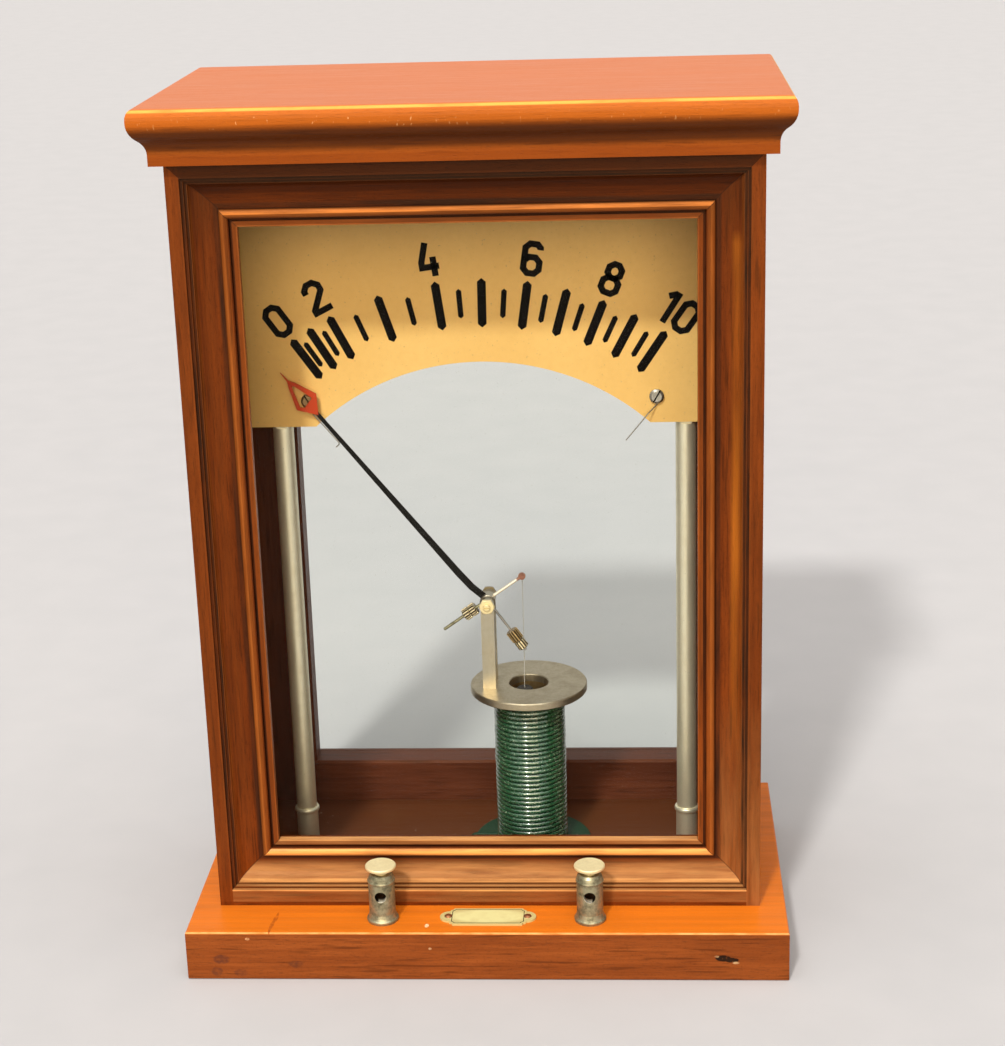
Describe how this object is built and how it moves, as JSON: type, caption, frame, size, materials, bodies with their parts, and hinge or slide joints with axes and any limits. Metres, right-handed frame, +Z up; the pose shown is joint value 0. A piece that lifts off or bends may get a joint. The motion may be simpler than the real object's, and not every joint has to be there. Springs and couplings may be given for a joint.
{
  "type": "demonstration ammeter",
  "caption": "Tall glazed mahogany case with a cornice, holding a moving-iron ammeter: upright coil, long pointer and large arched dial, with two binding posts on the front ledge.",
  "frame": {"origin": "centre of the overall box, on the underside of the base board", "axes": "+X to the right of someone facing the dial, +Y from front to back, +Z up"},
  "size_m": [0.24, 0.1494, 0.3445],
  "materials": {
    "mahogany": "french polish",
    "pane": "clear sheet glass",
    "dial_enamel": "satin cream paint",
    "nickel": "satin nickel plate",
    "aged_nickel": "aged nickel plate",
    "nickel_brass": "worn plate on brass",
    "brass_bare": "satin brass",
    "copper_strap": "copper",
    "steel_screw": "dull steel",
    "steel_wire": "drawn steel",
    "soft_iron": "dull grey",
    "black_paint": "matt black",
    "red_paint": "gloss red",
    "green_enamel": "green varnish",
    "green_winding": "varnished covered copper wire",
    "ivorine": "pale cream"
  },
  "bodies": {
    "case": {"base_board": "mahogany", "side_panel_left": "mahogany", "side_panel_right": "mahogany", "cornice_board": "mahogany", "front_stile_left": "mahogany", "front_stile_right": "mahogany", "front_rail_top": "mahogany", "front_rail_bottom": "mahogany", "front_glass": "pane", "front_glazing_beads": "mahogany", "rear_stile_left": "mahogany", "rear_stile_right": "mahogany", "rear_rail_top": "mahogany", "rear_rail_bottom": "mahogany", "rear_glass": "pane", "rear_glazing_beads": "mahogany", "case_screws": "steel_screw", "dial_plate": "dial_enamel", "dial_screws": "nickel", "column_left": "nickel", "column_right": "nickel", "column_foot_left": "nickel", "column_foot_right": "nickel", "column_screws": "steel_screw", "stop_screws": "aged_nickel", "stop_wire_left": "steel_wire", "stop_wire_right": "steel_wire", "coil_tube": "brass_bare", "coil_top_flange": "nickel", "coil_bottom_flange": "green_enamel", "coil_winding": "green_winding", "coil_screws": "brass_bare", "coil_leads": "green_winding", "fork_post_front": "nickel", "fork_post_rear": "nickel", "bearing_screw_front": "brass_bare", "bearing_screw_rear": "brass_bare", "bearing_lock_nuts": "brass_bare", "terminal_left": "aged_nickel", "terminal_right": "aged_nickel", "terminal_nuts": "brass_bare", "terminal_washers": "brass_bare", "connection_straps": "copper_strap", "unit_plate": "ivorine", "unit_plate_pins": "copper_strap"},
    "pointer": {"pointer_hub": "nickel", "pointer_axle": "steel_wire", "pointer_stem": "black_paint", "pointer_arrow": "red_paint", "lifting_arm": "nickel", "balance_rod": "nickel", "tail_rod": "steel_wire"},
    "balance_nut_inner": {"balance_nut_inner": "nickel_brass"},
    "balance_nut_outer": {"balance_nut_outer": "nickel_brass"},
    "tail_weight": {"tail_weight": "nickel_brass"},
    "tail_lock_nut": {"tail_lock_nut": "nickel_brass"},
    "core": {"suspension_wire": "steel_wire", "iron_core": "soft_iron"},
    "thumbscrew_left": {"thumbscrew_left": "aged_nickel"},
    "thumbscrew_right": {"thumbscrew_right": "aged_nickel"}
  },
  "joints": [
    {"name": "pointer_swing", "type": "hinge", "parent": "case", "child": "pointer", "pos_m": [0, 0.00325, 0.1325], "axis": [0, 1, 0], "range_deg": [0, 78.6]},
    {"name": "core_hang", "type": "hinge", "parent": "pointer", "child": "core", "pos_m": [0.01422, 0.00445, 0.14253], "axis": [0, 1, 0], "range_deg": [-78.6, 0]},
    {"name": "balance_nut_inner_slide", "type": "slide", "parent": "pointer", "child": "balance_nut_inner", "axis": [-0.8171, 0, -0.5764], "range_m": [-0.0015, 0.005]},
    {"name": "balance_nut_outer_slide", "type": "slide", "parent": "pointer", "child": "balance_nut_outer", "axis": [-0.8171, 0, -0.5764], "range_m": [-0.0015, 0.005]},
    {"name": "tail_weight_slide", "type": "slide", "parent": "pointer", "child": "tail_weight", "axis": [0.5736, 0, -0.8192], "range_m": [-0.01, 0.001]},
    {"name": "tail_lock_nut_slide", "type": "slide", "parent": "pointer", "child": "tail_lock_nut", "axis": [0.5736, 0, -0.8192], "range_m": [-0.01, 0.001]},
    {"name": "thumbscrew_left_lift", "type": "slide", "parent": "case", "child": "thumbscrew_left", "axis": [0, 0, 1], "range_m": [-0.0014, 0.0045]},
    {"name": "thumbscrew_right_lift", "type": "slide", "parent": "case", "child": "thumbscrew_right", "axis": [0, 0, 1], "range_m": [-0.0014, 0.0045]}
  ],
  "couplings": [
    {"joint": "core_hang", "follows": "pointer_swing", "ratio": -1},
    {"joint": "balance_nut_outer_slide", "follows": "balance_nut_inner_slide", "ratio": 1},
    {"joint": "tail_lock_nut_slide", "follows": "tail_weight_slide", "ratio": 1}
  ]
}
